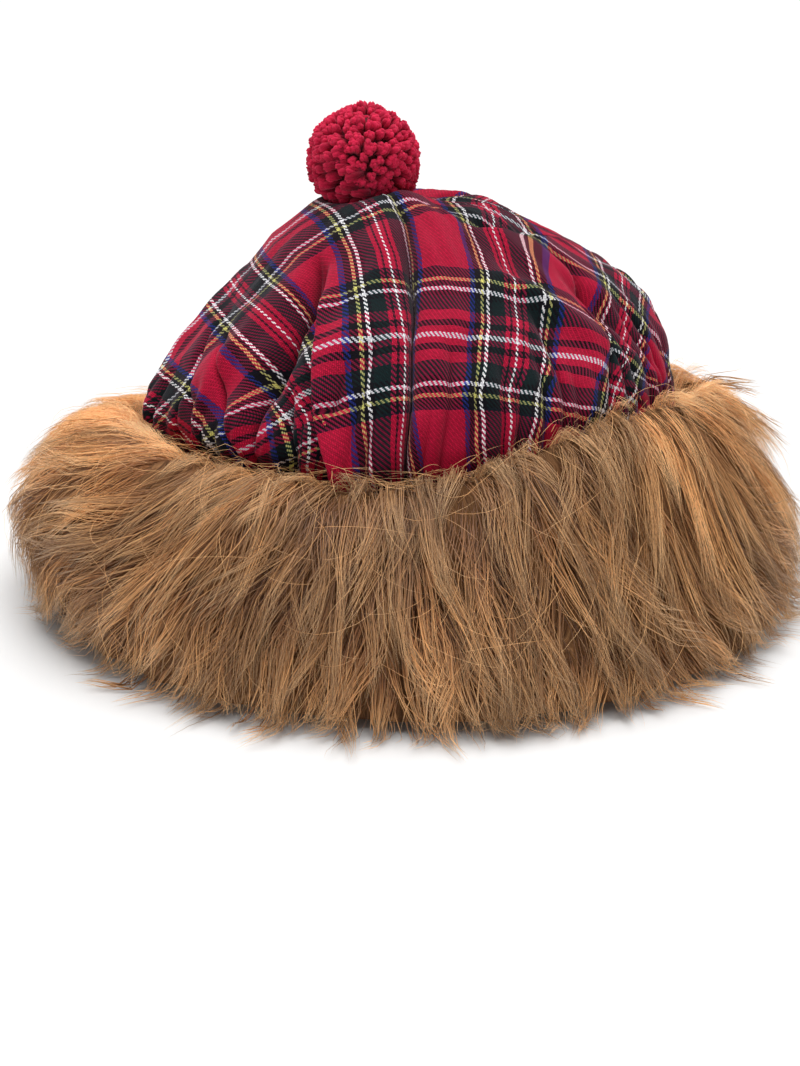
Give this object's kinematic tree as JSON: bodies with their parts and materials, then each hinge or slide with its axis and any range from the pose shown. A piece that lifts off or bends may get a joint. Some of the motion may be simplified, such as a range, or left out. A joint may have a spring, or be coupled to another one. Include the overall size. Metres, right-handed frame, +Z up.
{
  "type": "tam o shanter",
  "caption": "Slack tartan cloth tam with a gathered crown, a yarn pompom on top and a long-pile fake fur band round the head opening.",
  "frame": {"origin": "on the surface that the hat stands on, under the middle of its outline", "axes": "+Z up from the head opening to the pompom, -Y to the front of the hat, +X across it"},
  "size_m": [0.4094, 0.4064, 0.2313],
  "materials": {
    "tartan": "woven twill, matte",
    "fur": "long-pile fake fur, soft sheen",
    "yarn": "cut yarn, matte"
  },
  "bodies": {
    "root": {"crown": "tartan", "fur_band": "fur", "pompom": "yarn"}
  },
  "joints": []
}
